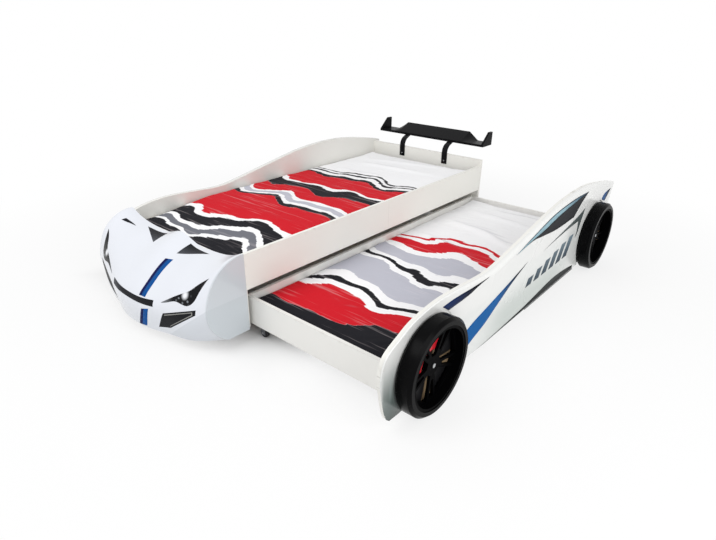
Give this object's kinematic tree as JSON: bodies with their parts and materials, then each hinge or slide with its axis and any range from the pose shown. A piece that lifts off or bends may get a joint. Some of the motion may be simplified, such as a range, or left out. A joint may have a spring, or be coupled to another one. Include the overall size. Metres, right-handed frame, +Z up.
{
  "type": "car bed with pull-out bed",
  "caption": "Child's bed shaped like a racing car, with a second bed that rolls out sideways on castors from under it, a moulded bonnet, trim wheels and a rear wing.",
  "frame": {"origin": "on the floor, under the middle of the whole bed as it stands with the second bed pulled out", "axes": "+Z up, -X towards the car's nose, -Y the way the second bed comes out"},
  "size_m": [2.5807, 1.978, 0.64],
  "materials": {
    "white_plastic": "gloss white moulding",
    "white_board": "satin white laminated board",
    "slat_wood": "plain planed softwood",
    "glide_plastic": "matte black",
    "bright_steel": "zinc plated",
    "black_steel": "satin black paint",
    "sheet_fabric": "white woven sheet",
    "coverlet_fabric": "printed woven cotton",
    "lens_plastic": "smoked gloss",
    "black_plastic": "satin black",
    "tyre_plastic": "matte black",
    "rim_plastic": "satin black",
    "disc_plastic": "silver grey",
    "red_plastic": "gloss red",
    "castor_plastic": "dark grey"
  },
  "bodies": {
    "main_bed": {"near_rail": "white_board", "front_panel": "white_board", "rear_panel": "white_board", "floor_glides": "glide_plastic", "near_ledger": "slat_wood", "far_ledger": "slat_wood", "slats": "slat_wood", "corner_brackets": "bright_steel", "bracket_screws": "bright_steel", "main_mattress": "sheet_fabric", "main_coverlet": "coverlet_fabric", "hood_shell": "white_plastic", "near_headlight": "lens_plastic", "far_headlight": "lens_plastic", "grille_slot": "black_plastic", "near_intake": "black_plastic", "far_intake": "black_plastic", "near_bonnet_vent": "black_plastic", "far_bonnet_vent": "black_plastic", "far_side_board": "white_board", "far_side_shell": "white_plastic", "far_sill_trim": "black_plastic", "far_front_tyre": "tyre_plastic", "far_front_rim": "rim_plastic", "far_front_brake_disc": "disc_plastic", "far_front_caliper": "red_plastic", "far_rear_tyre": "tyre_plastic", "far_rear_rim": "rim_plastic", "far_rear_brake_disc": "disc_plastic", "far_rear_caliper": "red_plastic", "far_wheel_bolts": "rim_plastic", "rear_wing": "black_plastic", "near_wing_strap": "black_steel", "far_wing_strap": "black_steel", "wing_screws": "bright_steel"},
    "trundle": {"trundle_front_board": "white_board", "trundle_rear_board": "white_board", "trundle_inner_board": "white_board", "trundle_base": "white_board", "trundle_side_board": "white_board", "trundle_mattress": "sheet_fabric", "trundle_coverlet": "coverlet_fabric", "near_side_shell": "white_plastic", "near_sill_trim": "black_plastic", "near_front_tyre": "tyre_plastic", "near_front_rim": "rim_plastic", "near_front_brake_disc": "disc_plastic", "near_front_caliper": "red_plastic", "near_rear_tyre": "tyre_plastic", "near_rear_rim": "rim_plastic", "near_rear_brake_disc": "disc_plastic", "near_rear_caliper": "red_plastic", "near_wheel_bolts": "rim_plastic", "castor_forks": "bright_steel", "castor_axles": "bright_steel", "castor_screws": "bright_steel"},
    "castor_wheel_front_inner": {"castor_wheel_front_inner": "castor_plastic"},
    "castor_wheel_front_outer": {"castor_wheel_front_outer": "castor_plastic"},
    "castor_wheel_rear_inner": {"castor_wheel_rear_inner": "castor_plastic"},
    "castor_wheel_rear_outer": {"castor_wheel_rear_outer": "castor_plastic"}
  },
  "joints": [
    {"name": "trundle_slide", "type": "slide", "parent": "main_bed", "child": "trundle", "axis": [0, 1, 0], "range_m": [0, 0.823]},
    {"name": "castor_wheel_front_inner_roll", "type": "hinge", "parent": "trundle", "child": "castor_wheel_front_inner", "pos_m": [-0.9065, -0.09, 0.025], "axis": [1, 0, 0], "continuous": true},
    {"name": "castor_wheel_front_outer_roll", "type": "hinge", "parent": "trundle", "child": "castor_wheel_front_outer", "pos_m": [-0.9065, -0.844, 0.025], "axis": [1, 0, 0], "continuous": true},
    {"name": "castor_wheel_rear_inner_roll", "type": "hinge", "parent": "trundle", "child": "castor_wheel_rear_inner", "pos_m": [1.0575, -0.09, 0.025], "axis": [1, 0, 0], "continuous": true},
    {"name": "castor_wheel_rear_outer_roll", "type": "hinge", "parent": "trundle", "child": "castor_wheel_rear_outer", "pos_m": [1.0575, -0.844, 0.025], "axis": [1, 0, 0], "continuous": true}
  ]
}
